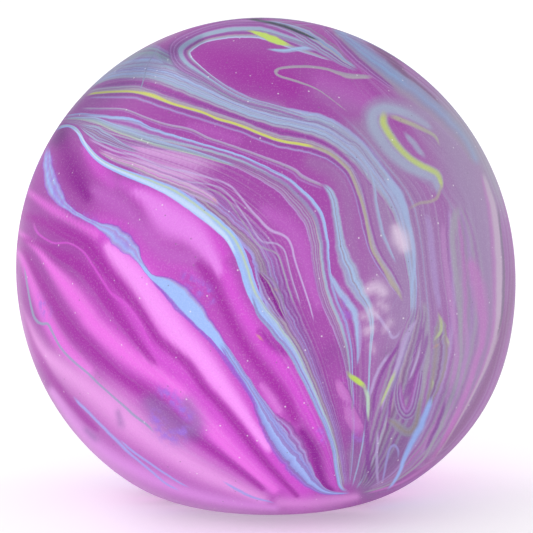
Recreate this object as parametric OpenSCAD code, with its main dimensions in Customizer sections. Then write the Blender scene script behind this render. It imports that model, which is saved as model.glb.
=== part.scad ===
// Marbled squeeze ball: a soft rubber skin full of jelly, closed by a plug.
// Millimetres, +Z up, origin at the middle of the flat patch that the ball rests on.

/* [Ball] */
// Diameter of the ball
ball_d = 70; // [55:1:100]
// Diameter of the flat patch that the ball settles on
rest_d = 20; // [14:1:26]
// Radius of the round edge between the flat patch and the side
rest_edge_r = 12; // [8:1:14]

/* [Skin] */
// Thickness of the rubber skin
skin_wall = 2.6; // [2:0.1:3.4]
// Diameter of the collar inside the skin, round the fill hole
collar_d = 14; // [13:0.5:18]
// How far the collar stands in from the middle of the skin's inner face
collar_h = 3; // [2:0.5:6]
// Diameter of the fill hole
fill_hole_d = 6; // [4:0.5:8]

/* [Fill plug] */
// Diameter of the plug's head
plug_head_d = 10; // [9:0.5:12]
// Thickness of the plug's head at its rim
plug_head_t = 1.2; // [0.8:0.1:1.6]
// Widest diameter of the plug's barb, inside the ball
barb_d = 8.4; // [8:0.2:10]
// Diameter of the barb's tip
barb_tip_d = 4; // [2:0.5:5]
// Length of the barb
barb_len = 3; // [2:0.5:5]
// Angle between the plug and straight up
plug_tilt = 38; // [0:1:60]
// Turn of the plug about the upright axis, from the right towards the back
plug_turn = 130; // [0:5:355]

/* [Adhesive] */
// Thickness of the adhesive ring under the plug's head
adhesive_t = 0.3; // [0.1:0.05:0.5]

/* [Fits] */
// Gap all round the plug, in its hole and its seat
plug_clear = 0.15; // [0.05:0.05:0.3]
// Gap between the filling and what lies round it
filling_clear = 0.2; // [0.1:0.05:0.4]

/* [Hidden] */
$fn = 128;

ball_r = ball_d / 2;
rest_r = rest_d / 2;
hole_r = fill_hole_d / 2;
head_r = plug_head_d / 2;
seat_r = head_r + plug_clear;
stem_r = hole_r - plug_clear;

// Height of the ball's centre: the round edge touches the flat patch and the ball's side alike
centre_z = rest_edge_r + sqrt(pow(ball_r - rest_edge_r, 2) - pow(rest_r, 2));
// Angle from straight down at which the round edge meets the side
edge_angle = asin(rest_r / (ball_r - rest_edge_r));

// Places along the plug's axis, as distances from the ball's centre
seat_at = sqrt(pow(ball_r, 2) - pow(seat_r, 2)) - plug_head_t - adhesive_t;
head_at = seat_at + adhesive_t;
collar_at = ball_r - skin_wall - collar_h;
collar_top = ball_r - skin_wall / 2;
barb_at = collar_at - plug_clear;
tip_at = barb_at - barb_len;
// A length that passes right through the ball
through = 2 * ball_d;

// Half outline of the settled ball, drawn in by an inset from its outer face
module half_outline(inset) {
    // Side, the ball's own circle down to the line where the round edge takes over
    intersection() {
        translate([0, centre_z]) circle(r = ball_r - inset);
        polygon([
            [0, centre_z],
            [through * sin(edge_angle), centre_z - through * cos(edge_angle)],
            [through, centre_z + through],
            [0, centre_z + through]
        ]);
    }
    // Round edge, which lies wholly inside the side's circle
    intersection() {
        translate([rest_r, rest_edge_r]) circle(r = rest_edge_r - inset);
        square([through, centre_z]);
    }
    // Middle, above the flat patch
    translate([0, inset]) square([rest_r, centre_z - inset]);
}

module settled_ball(inset) {
    rotate_extrude() half_outline(inset);
}

// Puts its children on the plug's axis, with the ball's centre as their origin
module on_plug_axis() {
    translate([0, 0, centre_z]) rotate([0, plug_tilt, plug_turn]) children();
}

module skin() {
    color([0.66, 0.26, 0.67]) difference() {
        union() {
            difference() {
                settled_ball(0);
                settled_ball(skin_wall);
            }
            // Collar, which gives the plug a longer hole to sit in
            intersection() {
                settled_ball(0);
                on_plug_axis() translate([0, 0, collar_at])
                    cylinder(d = collar_d, h = collar_top - collar_at);
            }
        }
        // Fill hole and the seat for the plug's head
        on_plug_axis() cylinder(r = hole_r, h = through);
        on_plug_axis() translate([0, 0, seat_at]) cylinder(r = seat_r, h = through);
    }
}

module fill_plug() {
    color([0.80, 0.55, 0.82]) on_plug_axis() {
        // Head, whose top carries on the ball's round face
        intersection() {
            sphere(r = ball_r);
            translate([0, 0, head_at]) cylinder(r = head_r, h = through);
        }
        // Stem, from the barb up to the head
        translate([0, 0, barb_at]) cylinder(r = stem_r, h = head_at - barb_at);
        // Barb, pointed so that it pushes in through the fill hole
        translate([0, 0, tip_at]) cylinder(d1 = barb_tip_d, d2 = barb_d, h = barb_len);
    }
}

module plug_adhesive() {
    color([0.93, 0.90, 0.80]) on_plug_axis() translate([0, 0, seat_at]) difference() {
        cylinder(r = head_r, h = adhesive_t);
        translate([0, 0, -through / 2]) cylinder(r = hole_r, h = through);
    }
}

module jelly_filling() {
    color([0.90, 0.62, 0.88]) difference() {
        settled_ball(skin_wall + filling_clear);
        // Room for the collar and for the plug's barb
        on_plug_axis() translate([0, 0, collar_at - filling_clear])
            cylinder(r = collar_d / 2 + filling_clear, h = through);
        on_plug_axis() translate([0, 0, tip_at - filling_clear])
            cylinder(r = barb_d / 2 + filling_clear, h = through);
    }
}

skin();
fill_plug();
plug_adhesive();
jelly_filling();
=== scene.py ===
"""Marbled gummy ball: a soft rubber skin full of jelly, closed by a glued plug, on a pale floor."""

import math
from collections import namedtuple

import bpy
import numpy as np
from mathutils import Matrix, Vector


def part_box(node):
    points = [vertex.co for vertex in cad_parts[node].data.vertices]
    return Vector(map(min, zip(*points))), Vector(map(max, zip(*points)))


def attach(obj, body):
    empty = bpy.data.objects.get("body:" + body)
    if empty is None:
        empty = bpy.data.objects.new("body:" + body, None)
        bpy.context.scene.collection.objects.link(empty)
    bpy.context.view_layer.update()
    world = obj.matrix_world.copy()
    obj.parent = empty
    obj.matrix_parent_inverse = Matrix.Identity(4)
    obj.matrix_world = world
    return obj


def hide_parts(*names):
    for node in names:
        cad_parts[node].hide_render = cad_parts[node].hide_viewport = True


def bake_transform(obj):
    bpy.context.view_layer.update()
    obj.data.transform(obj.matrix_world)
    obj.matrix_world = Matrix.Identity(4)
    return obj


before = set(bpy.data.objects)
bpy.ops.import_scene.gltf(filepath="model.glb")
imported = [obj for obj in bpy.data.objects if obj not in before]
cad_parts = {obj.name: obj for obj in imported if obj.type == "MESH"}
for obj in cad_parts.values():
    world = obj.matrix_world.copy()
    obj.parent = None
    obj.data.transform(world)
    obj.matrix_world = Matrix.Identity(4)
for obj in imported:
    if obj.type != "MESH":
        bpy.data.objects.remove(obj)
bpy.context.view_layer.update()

# Sizes read from the frame, in metres
LOW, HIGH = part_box("skin")
BALL_R = (HIGH[0] - LOW[0]) / 2
CENTRE = Vector((0, 0, HIGH[2] - BALL_R))
RING_LOW, RING_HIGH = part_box("plug_adhesive")
PLUG_AXIS = ((Vector(RING_LOW) + Vector(RING_HIGH)) / 2 - CENTRE).normalized()

# Gaps round the plug and round the filling, and the ease of the plug's upper edge, in metres
PLUG_GAP = 0.00015
FILLING_GAP = 0.0002
EASE = 0.0003
# Height within which two CAD corners are level
LEVEL = 1e-5
# Distance from the plug's axis within which a point is on it
ON_AXIS = 1e-7
# Depth below the seat at which the plug's head is surely past
UNDER_HEAD = 0.001

# How the soft ball settles. Lengths are in metres, the height and spread of the sag in shares of the radius.
SETTLING = {
    "Ball radius": BALL_R,
    "Centre height": CENTRE.z,
    "Base softness": 0.0054,
    "Lengthening": 0.0233,
    "Long axis": (-0.4067, 0.1586, 0.8997),
    "Sag": 0.00056,
    "Sag height": -0.54,
    "Sag spread": 0.35,
    "Lean": 0.71,
}
SHARP_ANGLE = math.radians(40)

# Photograph, and the camera that stands where it was taken from
PHOTO_SIDE = 533
CAMERA_UP = math.radians(10)
CAMERA_AWAY = 0.5
CAMERA_AIM = CENTRE + Vector((0.00014, 0, 0.00061))
FOCAL_PX = 3541
SENSOR = 36
TOWARD = np.array([0, -math.cos(CAMERA_UP), math.sin(CAMERA_UP)])
UPWARD = np.array([0, math.sin(CAMERA_UP), math.cos(CAMERA_UP)])

# Soft boxes that face the ball: place and size in metres, power in watts
LIGHTS = {
    "key": ((-0.5, -0.6, 0.7), (0.6, 0.6), 1.0),
    "rim": ((-0.5, 0.45, 0.55), (0.5, 0.5), 1.4),
    "strip": ((0.55, 0.45, 0.25), (0.12, 0.7), 0.6),
    "fill": ((0.1, -0.9, 0.12), (1.2, 0.2), 1.2),
}
SKY_STRENGTH = 0.76
FLOOR_SIDE = 6

# Angles round the ball from the middle of the photograph: where the stirring starts, where the pattern
# folds back and where the painted light and shade of its edge end
STIR_FROM, EDGE_ANGLE, TINT_TO = (math.radians(a) for a in (78, 82, 88))
# Lines along the edge: the angles where they start and end, on the left and on the right
LINES_FROM = [math.radians(a) for a in (74, 63)]
LINES_TO = [math.radians(a) for a in (90, 112)]
# Steps of the flow that those lines cross, on the left and on the right
LINES_ACROSS = (2, 5)
# Where left turns into right, in shares of the radius
LEFT_TO, RIGHT_FROM = -0.2, 0.6
# Their strength, what is added past the edge on the right, and their fading end in radians
LINES_COVER, MORE_COVER, LINES_FADE = 0.45, 0.35, 0.2
# Back of the ball: how soon the pattern folds in, and its turn and the stirring's rise in radians
FOLD_POWER = 0.8
BACK_TURN = 3.4
STIR_RISE = 0.35
# Waves over the ball, each (height, rate to the right, rate up, start): those that stir the back across and
# down, in pixels, and those of the edge's lines
STIR_ACROSS = ((40, 0, 5, 1.3), (12, 14, 4, 0))
STIR_DOWN = ((38, 5, 0, 0.4), (10, -5, 13, 0))
LINE_WAVES = ((1.1, 2, 5, 0), (0.5, -3, 11, 0))

# Marks on the skin's corners, in pixels: the length of a streak's fading ends
END_FADE = 8
# How far apart two paths of a streak, and two streaks, lie in the noise
PATH_APART, STREAK_APART = 90, 700
# Where the threads begin to fade to the right, and where they are gone
THREADS_TO, THREADS_END = 300, 410
# How far out a streak is marked, in its own widths, and a soft part, in its own spreads
STREAK_REACH, SOFT_REACH = 3, 3
# Share of its length over which each end of a tapered part fades
TAPER = 0.25
# Rounds in which the flow spreads from its guides, and more in which it softens
FLOW_ROUNDS, SOFTENING_ROUNDS = 297, 3
# Fine lines to each step of the flow
LINES_A_STEP = 7
# How fast noise changes along a streak, for each pixel: its wobble, and the drift of its threads
WOBBLE_RATE, DRIFT_RATE = 0.07, 0.008

# Sockets of a colour Mix node and of a plain one
COLOUR_BELOW, COLOUR_ABOVE, COLOUR_OUT = 6, 7, 2
VALUE_BELOW, VALUE_ABOVE, VALUE_OUT = 2, 3, 0

# Share of white sheen that the light adds to a colour, and the darkest that is left without it
SHEEN, DARKEST = 0.018, 0.004
WHITE = (1, 1, 1, 1)
# Colours as they are seen
PALETTE = {
    "magenta": "A651AA",
    "deep": "A636A5",
    "wine": "8E2A94",
    "orchid": "D65AD5",
    "candy": "EE78E8",
    "pink": "F599F6",
    "blush": "E8A0E6",
    "mauve": "C068C6",
    "rose": "D98FDB",
    "peony": "C878C6",
    "purple": "8E4C9E",
    "plum": "A35FAE",
    "umber": "7E5685",
    "painted_rim_shade": "8E6490",
    "wisp": "E3B6EA",
    "petal": "E68AEC",
    "lavender": "C8AEE0",
    "bloom": "DC94E2",
    "violet": "A074DC",
    "amethyst": "9A62CC",
    "violet_grey": "B094CC",
    "orchid_grey": "BC8AC4",
    "lilac": "B088C8",
    "pale_lilac": "BCA8D6",
    "iris": "A8A0D8",
    "sky_lilac": "A6A8EA",
    "sky": "A2BEF6",
    "pale_sky": "CFE2FF",
    "azure": "A6C2E8",
    "steel": "88A6D2",
    "rim": "8A98BE",
    "periwinkle": "929ADC",
    "teal": "96B0BA",
    "dove": "A6B4CE",
    "mist": "A0B6D0",
    "blue_grey": "95A2C0",
    "heather": "A298BC",
    "haze_and_sheen": "A18CB2",
    "smoke": "9A70B0",
    "limb": "D6A8D8",
    "dusk": "8E6A9C",
    "painted_shade": "CBCBDA",
    "slate": "9A93A8",
    "grey": "A79FB4",
    "ash": "A6A3B0",
    "pearl": "AEABC3",
    "tan": "B2A8B4",
    "taupe": "9C928E",
    "brown": "96829F",
    "shade": "7E7088",
    "dark": "34404E",
    "khaki": "B4AF98",
    "olive": "ABA78A",
    "yellow": "D2D66E",
    "lime": "C6E268",
    "pear": "BACA92",
    "pale_lime": "BCD6BE",
    "amber": "D0A070",
    "cloud": "DFCCE4",
    "shell": "CBB6CC",
    "painted_rim_sheen": "A6A4B4",
    "white": "F6F4F6",
    "floor": "EEEEEE",
}


def linear(name):
    """A palette colour as linear red, green, blue and full alpha, less the sheen."""
    code = PALETTE[name]
    parts = [int(code[i:i + 2], 16) / 255 for i in (0, 2, 4)]
    light = [p / 12.92 if p <= 0.04045 else ((p + 0.055) / 1.055) ** 2.4 for p in parts]
    return [max(DARKEST, v - SHEEN) / (1 - SHEEN) for v in light] + [1.0]


# Streaks of the marbling, in the photograph's pixels: bands of colour from the left-hand side to the right,
# each (place, colour, cover), and paths of (across, down, half width) that share them. Noise moves the bands
# by the wobble, in widths, and the lines are fine threads that run in them.
Streak = namedtuple("Streak", "name bands paths wobble lines", defaults=(0.15, 0))


def plain(colour, cover=0.9):
    """Bands of one colour with soft edges."""
    return [(0.0, colour, 0), (0.35, colour, cover), (0.65, colour, cover), (1.0, colour, 0)]


STREAKS = [
    # Upper bands, from the left-hand edge down to the right
    Streak("upper_bundle", [
        (0.0, "iris", 0), (0.05, "iris", 0.9), (0.14, "azure", 0.95), (0.25, "dove", 0.95),
        (0.33, "mist", 0.95), (0.41, "dove", 0.95), (0.47, "azure", 0.95), (0.54, "azure", 0.95),
        (0.6, "dove", 0.95), (0.69, "azure", 0.95), (0.77, "mist", 0.95), (0.87, "pearl", 0.9),
        (0.94, "plum", 0.8), (1.0, "plum", 0)], [
        [(84, 88, 3), (98, 79, 6), (114, 72, 9), (134, 69, 12), (156, 70, 14), (180, 77.5, 16.5),
         (255, 111, 11.5), (315, 125.5, 13), (340, 138, 13), (362, 157, 13), (382, 182, 12),
         (397, 205, 10), (404, 228, 7.5), (412, 276, 5), (413, 300, 4), (411, 328, 3.2), (402, 358, 3),
         (392, 393, 2), (383, 430, 1.5), (371, 465, 1.2), (356, 489, 1)]], wobble=0.08, lines=15),
    Streak("teal_band", [
        (0.0, "iris", 0), (0.15, "iris", 0.8), (0.35, "teal", 0.95), (0.65, "teal", 0.95),
        (0.85, "dove", 0.8), (1.0, "heather", 0)], [
        [(122, 62, 3), (134, 54, 6), (148, 51, 8), (162, 55, 7), (190, 70, 5.5), (222, 91, 5.5),
         (240, 100, 4.5), (284, 113, 1.5)]], lines=4),
    Streak("lens_border", [
        (0.0, "lilac", 0), (0.04, "pale_sky", 0.8), (0.1, "mist", 0.85), (0.16, "tan", 0.8),
        (0.21, "plum", 0.85), (0.27, "purple", 0.85), (0.32, "lilac", 0.85), (0.37, "mist", 0.95),
        (0.52, "mist", 0.95), (0.57, "lilac", 0.85), (0.62, "purple", 0.8), (0.68, "plum", 0.8),
        (0.71, "lilac", 0.8), (0.75, "purple", 0.8), (0.82, "plum", 0.8), (0.85, "lilac", 0.8),
        (0.89, "purple", 0.7), (1.0, "purple", 0)], [
        [(334, 58, 4), (310, 45, 10), (268, 30, 11), (254, 28, 10.5), (226, 29, 10), (199, 36, 9),
         (181, 46.5, 11.5), (179, 53, 12), (182, 60, 11), (188, 66, 9.5), (205, 77, 6), (225, 90, 4.5),
         (247, 100.5, 4), (278, 109, 3.5), (308, 118.5, 3)]], wobble=0.06, lines=5),
    Streak("yellow_bundle", [
        (0.0, "purple", 0), (0.1, "purple", 0.75), (0.2, "plum", 0.8), (0.29, "pearl", 0.9),
        (0.38, "tan", 0.9), (0.56, "tan", 0.9), (0.63, "plum", 0.8), (0.73, "purple", 0.75),
        (0.81, "plum", 0.8), (0.88, "iris", 0.85), (0.94, "lilac", 0.7), (1.0, "magenta", 0)], [
        [(86, 96, 4), (98, 92, 7), (126, 90.5, 9), (140, 91.5, 9.5), (178, 104.5, 9.5), (242, 125.5, 8.5),
         (274, 138, 9), (306, 144.5, 9.5), (332, 155, 8), (351, 174, 6.5), (361, 200, 6), (373, 247, 6),
         (391, 278, 6), (401, 295, 4)]], wobble=0.1, lines=6),
    Streak("yellow_line", [
        (0.0, "tan", 0), (0.25, "yellow", 0.95), (0.7, "yellow", 0.95), (1.0, "pearl", 0)], [
        [(86, 96, 0.8), (95, 93.2, 1.4), (122, 91.4, 1.6), (136, 92.2, 1.8), (152, 95.5, 2.8),
         (172, 103.5, 1.9), (200, 111.5, 1.8), (210, 115.5, 1.6), (218, 119, 1.9), (240, 125.5, 1.9),
         (276, 139.5, 2), (304, 144.8, 2.1), (316, 147.5, 2)]]),
    Streak("olive_line", plain("khaki"), [
        [(312, 146.5, 1.5), (326, 151.5, 2.2), (335, 157, 2.2), (344, 165, 2.1), (351, 174, 2),
         (361, 200, 1.8), (365, 214, 1.7), (371, 246, 1.8), (377, 258, 1.9), (385, 271, 2.2),
         (392, 283, 3.5), (398, 292, 2.5), (403, 302, 1)]]),
    Streak("lilac_line", [
        (0.0, "lilac", 0), (0.15, "pale_lilac", 0.85), (0.45, "grey", 0.85), (0.6, "plum", 0.6),
        (0.8, "lilac", 0.8), (1.0, "lilac", 0)], [
        [(80, 109, 1.5), (110, 109, 1.5), (126, 110.5, 1.8), (145, 118, 2), (165, 125, 2.4),
         (190, 130.5, 2.6), (208, 139, 2.6), (222, 143.5, 2.4), (260, 157, 2.8), (292, 170, 3.5),
         (302, 178, 4), (325, 188, 3)]], wobble=0.12),
    Streak("middle_bundle", [
        (0.0, "lilac", 0), (0.04, "sky", 0.9), (0.13, "azure", 0.95), (0.19, "lilac", 0.85),
        (0.24, "plum", 0.8), (0.3, "lilac", 0.5), (0.37, "mist", 0.9), (0.46, "dove", 0.95),
        (0.52, "tan", 0.9), (0.57, "plum", 0.85), (0.62, "grey", 0.9), (0.67, "plum", 0.75),
        (0.73, "pearl", 0.85), (0.79, "plum", 0.7), (0.85, "grey", 0.85), (0.9, "lilac", 0.7),
        (0.95, "pale_lilac", 0.85), (1.0, "lilac", 0)], [
        [(62, 120, 3.5), (72, 119, 5), (84, 120.5, 7.5), (126, 131, 14.5), (150, 137.6, 11),
         (200, 149.3, 6.8), (238, 161.2, 7.4), (264, 174, 8.2), (284, 185.5, 9.5), (307, 209, 11.6),
         (317, 230, 10.6), (322.2, 272, 9.1), (329, 300, 8.8), (339, 324, 8.5), (347, 352, 6),
         (350, 380, 3), (353, 415, 1.5), (352, 450, 1.5), (349, 485, 1)]], wobble=0.1, lines=3),
    Streak("fan_band", [
        (0.0, "azure", 0), (0.15, "azure", 0.9), (0.4, "mist", 0.95), (0.62, "teal", 0.9),
        (0.82, "pale_lime", 0.85), (1.0, "pale_lime", 0)], [
        [(70, 118, 1.2), (90, 119, 2.6), (100, 121.5, 3.4), (120, 130, 4.4), (156, 142.5, 4),
         (190, 151.5, 3), (236, 166, 1.4)]], wobble=0.1, lines=2),
    Streak("knot", [
        (0.0, "lilac", 0), (0.08, "mist", 0.9), (0.18, "mist", 0.9), (0.24, "purple", 0.85),
        (0.33, "mist", 0.9), (0.41, "purple", 0.85), (0.47, "slate", 0.9), (0.53, "slate", 0.9),
        (0.59, "purple", 0.85), (0.67, "mist", 0.9), (0.76, "purple", 0.85), (0.85, "mist", 0.9),
        (0.92, "mist", 0.8), (1.0, "lilac", 0)], [
        [(78, 125, 1), (94, 132, 7), (103, 137, 6.5), (126, 147.5, 2.8), (140, 152, 1.4)]], wobble=0.1),
    Streak("agate_bundle", [
        (0.0, "magenta", 0), (0.22, "magenta", 0.3), (0.3, "lilac", 0.6), (0.36, "purple", 0.6),
        (0.42, "violet_grey", 0.8), (0.47, "plum", 0.8), (0.52, "iris", 0.85), (0.57, "plum", 0.85),
        (0.62, "iris", 0.85), (0.67, "lilac", 0.9), (0.72, "brown", 0.9), (0.79, "tan", 0.9),
        (0.86, "brown", 0.9), (0.91, "iris", 0.9), (0.97, "sky_lilac", 0.9), (1.0, "violet", 0)], [
        [(160, 174, 1.5), (176, 180, 4), (208, 195, 14), (248, 228, 17), (266, 247, 18), (272, 260, 20),
         (280, 290, 21), (291, 316, 18), (309, 352, 12), (331, 412, 8.5), (340, 444, 7),
         (347, 488, 5)]], wobble=0.1, lines=11),
    Streak("agate_pale", [
        (0.0, "wisp", 0), (0.12, "lavender", 0.6), (0.25, "wisp", 0.7), (0.4, "shell", 0.85),
        (0.52, "rose", 0.75), (0.64, "shell", 0.9), (0.76, "tan", 0.85), (0.9, "lavender", 0.9),
        (1.0, "lilac", 0)], [
        [(98, 150, 2), (112, 157, 4), (140, 167, 6.2), (155, 174, 6.8), (200, 192.5, 6.8),
         (220, 206, 2.5)]], lines=3),
    Streak("fan_lines", plain("lavender", 0.85), [
        [(88, 137, 1), (95, 142, 1.4), (115, 151, 1.5), (137, 156, 1.7), (158, 165.5, 1.7),
         (172, 169, 1.7), (186, 171.5, 1.6), (215, 179.5, 1.6), (228.5, 185, 1.6), (236, 191.5, 1.6),
         (250, 209, 1.6), (258.5, 218, 1.8), (265.5, 226, 2.1), (273, 231.4, 2.1), (281.5, 234.3, 1.9),
         (288.5, 239.5, 1.7), (292.5, 249, 1.6), (295, 260.5, 1.5), (309, 303, 1.2),
         (314, 322, 1)]], wobble=0.1),
    Streak("agate_line", plain("pale_lilac", 0.85), [
        [(150, 170, 0.8), (166, 177, 1), (182, 181, 1.1), (204, 183.5, 1.2), (217, 186.5, 1.3),
         (224, 190.5, 1.3), (233, 199.5, 1.3), (247, 220, 1.3), (258.5, 238, 1.5), (265.5, 242.5, 1.5),
         (274, 243, 1.5), (281, 246.5, 1.4), (285.5, 253.5, 1.3), (292, 279, 1.2),
         (301, 306, 1)]], wobble=0.1),
    Streak("agate_line_2", plain("grey", 0.85), [
        [(198, 188, 0.8), (210, 189.5, 1.1), (219, 192.5, 1.2), (228, 201, 1.2), (248, 229.5, 1.2),
         (256, 243, 1.3), (266, 249, 1.4), (275, 252.5, 1.3), (280.5, 261, 1.2), (289, 290, 1.2),
         (295, 306, 1)]], wobble=0.1),
    Streak("agate_eye", [
        (0.0, "brown", 0), (0.1, "brown", 0.9), (0.2, "violet_grey", 0.9), (0.3, "purple", 0.9),
        (0.38, "tan", 0.85), (0.45, "wine", 0.95), (0.66, "wine", 0.95), (0.74, "violet_grey", 0.9),
        (0.84, "purple", 0.8), (0.92, "iris", 0.9), (1.0, "iris", 0)], [
        [(257, 270, 2), (267, 284, 9), (274, 299, 9.5), (286, 322, 3)]], wobble=0.2),
    # Blue lines of the middle
    Streak("broad_blue", [
        (0.0, "lilac", 0), (0.05, "sky", 0.9), (0.2, "sky", 0.95), (0.27, "pale_lime", 0.9),
        (0.36, "pale_lime", 0.9), (0.46, "azure", 1), (0.7, "sky", 1), (0.92, "sky", 1),
        (1.0, "sky", 0)], [
        [(54, 131, 1.2), (61, 127, 1.5), (68, 125.8, 1.5), (75, 128.5, 1.8), (80, 135, 2), (84, 143, 2.2),
         (98, 159, 2.8), (119, 170.5, 3.4), (158, 185.5, 5), (182, 198, 6.4), (222, 228.5, 6.2),
         (236, 246, 6.3), (245, 268, 6.2), (252.5, 291.5, 6.3), (264, 313.5, 5),
         (280, 334, 3)]], wobble=0.1),
    Streak("broad_pale", plain("pale_sky", 0.8), [
        [(70, 127, 1), (80, 135, 1.2), (90, 151, 1.4), (104, 163.5, 1.6), (130, 175.5, 2),
         (165, 191, 3.4), (195, 210, 4.4), (220, 231, 3.4), (230, 243, 2.4),
         (236, 256, 1.4)]], wobble=0.2),
    Streak("broad_low", [
        (0.0, "heather", 0), (0.1, "dove", 0.9), (0.2, "pale_lime", 0.7), (0.3, "azure", 0.95),
        (0.6, "sky", 0.95), (0.9, "steel", 0.9), (1.0, "lilac", 0)], [
        [(253, 293, 3), (264, 313.5, 7.4), (287.5, 344, 6.4), (300.5, 367, 5.2), (324, 419, 3.6),
         (333.5, 446, 3), (338, 475, 2.8), (341, 487, 2.2), (348, 491.5, 1.4)]], wobble=0.2, lines=3),
    Streak("lower_blue", [
        (0.0, "purple", 0), (0.07, "amethyst", 0.9), (0.18, "iris", 0.95), (0.3, "sky", 0.9),
        (0.42, "iris", 0.9), (0.55, "sky_lilac", 0.95), (0.7, "sky", 0.95), (0.85, "iris", 0.9),
        (0.95, "violet", 0.7), (1.0, "violet", 0)], [
        [(48, 147, 2), (47.5, 158, 4.5), (49, 172, 6), (53, 186, 8), (58, 197, 7), (66, 206, 3.6),
         (77, 214, 2.6), (88, 220, 2.4), (98, 225, 3.5), (106, 228, 6), (115, 234, 9), (125, 243, 10),
         (133, 251, 7.5), (139, 260, 3.5), (145, 269, 2.4), (152, 277, 2)]], wobble=0.3),
    Streak("lower_blob", [
        (0.0, "purple", 0), (0.08, "amethyst", 0.9), (0.16, "iris", 0.9), (0.26, "sky", 1),
        (0.85, "sky", 1), (0.93, "amethyst", 0.8), (1.0, "violet", 0)], [
        [(139, 260, 1.5), (145, 269, 2.4), (152, 277, 3), (168, 286, 9.5), (185, 302, 13),
         (214, 335, 6.5), (238, 368, 3)]], wobble=0.16),
    Streak("low_blue", [
        (0.0, "purple", 0), (0.06, "iris", 0.9), (0.25, "periwinkle", 0.95), (0.5, "sky", 0.95),
        (0.75, "periwinkle", 1), (0.93, "amethyst", 0.8), (1.0, "violet", 0)], [
        [(220, 343, 2), (228, 353, 4), (255, 396, 5.5), (261, 407, 8), (277, 436, 12), (297, 464, 13),
         (315, 485, 6.5), (325, 491.5, 3.5), (337, 493.5, 1.5), (350, 493, 1)]], wobble=0.25, lines=5),
    Streak("blue_mottle", [
        (0.0, "purple", 0), (0.2, "purple", 0.8), (0.35, "lilac", 0.8), (0.5, "iris", 0.8),
        (0.65, "purple", 0.6), (0.8, "iris", 0.6), (1.0, "sky", 0)], [
        [(272, 412, 2), (281, 421, 5), (298, 443, 7.5), (310, 466, 3)]], wobble=0.4, lines=6),
    Streak("violet_edge", plain("amethyst", 0.85), [
        [(150, 279, 1.5), (166, 295, 2.4), (183, 314, 2.2), (214, 345, 2.4), (232, 369, 3.5),
         (243, 384, 3), (253, 400, 2.5), (259, 412, 1.8)]], wobble=0.3),
    Streak("ridge", plain("orchid", 0.75), [
        [(33, 222, 1.6), (37, 232, 1.8), (44, 238, 1.6), (54, 243, 1.6), (68, 243, 1.5), (80, 249, 1.5),
         (88, 258, 1.6), (104, 283, 1.7), (111, 293, 2), (124, 303, 3.2), (138, 320, 2), (151, 346, 1.7),
         (160, 358, 1.5), (172, 368, 1.2)]]),
    Streak("threads", plain("blue_grey", 0.85), [
        [(24, 266, 1), (31, 306, 1.5), (36, 320, 1.9), (42, 324, 2.1), (48, 324, 1.9), (53, 334, 1.6),
         (61, 348, 1.6), (72, 360, 1.7), (85, 371, 1.6), (110, 394, 1.4), (124, 406, 1.7),
         (135, 416, 1.9), (147, 425, 1.6), (155, 433, 1.2)],
        [(160, 46, 0.8), (149, 62, 1), (144, 78, 1), (139, 94, 0.7)]], wobble=0.3),
    Streak("low_threads", plain("sky_lilac"), [
        [(73, 396, 1.3), (82, 406, 2.1), (96, 420, 1.9), (120, 444, 2.3), (135, 458, 1.7),
         (150, 470, 1.6), (165, 483, 1.4), (180, 491, 1)],
        [(222, 481, 1), (238, 490, 2), (252, 497, 1.6), (275, 503, 1)]], wobble=0.3),
    Streak("low_threads_2", plain("sky_lilac"), [
        [(119, 439, 0.8), (130, 449, 1.6), (145, 460, 1.6), (175, 480, 1.3),
         (190, 488, 0.8)]], wobble=0.3),
    # Top of the ball
    Streak("hairpin", [
        (0.0, "grey", 0), (0.25, "tan", 0.9), (0.75, "grey", 0.9), (1.0, "grey", 0)], [
        [(374, 77, 2), (350, 76, 3.4), (340, 73.5, 2.4), (330, 70, 1.7), (320, 67.8, 1.7),
         (305, 66.5, 1.7), (290, 67, 1.7), (280, 68.3, 1.6), (274.8, 71, 1.5), (277, 74.5, 1.5),
         (283, 77.3, 1.5), (300, 82.5, 1.4), (320, 91, 0.8), (348, 112, 0.6)]], wobble=0.2),
    Streak("top_fan", [
        (0.0, "purple", 0), (0.08, "slate", 0.9), (0.18, "plum", 0.85), (0.26, "mist", 0.9),
        (0.38, "steel", 0.9), (0.46, "tan", 0.9), (0.52, "mist", 0.9), (0.62, "purple", 0.85),
        (0.7, "mist", 0.9), (0.78, "plum", 0.85), (0.86, "mist", 0.9), (0.94, "lilac", 0.8),
        (1.0, "lilac", 0)], [
        [(262, 22, 2), (278, 24, 4), (294, 29, 6), (308, 36, 8.5), (333, 53, 8), (345, 62, 5),
         (358, 70, 2.5)]], lines=6),
    Streak("blue_blob", plain("azure", 0.95), [
        [(266, 49, 1), (285, 50.5, 2.8), (304, 48, 3), (314, 51, 1.5)]], wobble=0.2, lines=3),
    # Painted shadow: a near-black line in the gap round the plug's rim
    Streak("painted_gap_shadow", plain("dark", 0.95), [
        [(238, 17.5, 1), (250, 19, 1.5), (274, 23.5, 1.9), (293, 29.5, 2.3),
         (320, 41, 0.9)]], wobble=0.2),
    Streak("lime_patch", [
        (0.0, "lime", 0), (0.2, "lime", 0.95), (0.8, "lime", 0.95), (1.0, "olive", 0)], [
        [(246, 31, 0.8), (254, 32, 1.8), (270, 38, 4.2), (277, 41, 4.2), (292, 46, 1)]], wobble=0.3),
    Streak("rim_blue", [
        (0.0, "slate", 0), (0.2, "rim", 0.85), (0.45, "steel", 0.95), (0.6, "rim", 0.9),
        (0.8, "slate", 0.6), (1.0, "slate", 0)], [
        [(330, 28, 4), (343, 36, 8), (374, 62, 13), (428, 103, 10), (458, 131, 9), (470, 148, 8),
         (478, 166, 6)]], wobble=0.12, lines=6),
    Streak("rim_umber", plain("umber"), [
        [(360, 37, 1.5), (374, 46, 4), (388, 57, 5), (398, 67, 5), (405, 74, 3), (416, 82, 2),
         (430, 94, 1.5), (442, 106, 1)]], wobble=0.25),
    Streak("purple_diagonal", [
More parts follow.
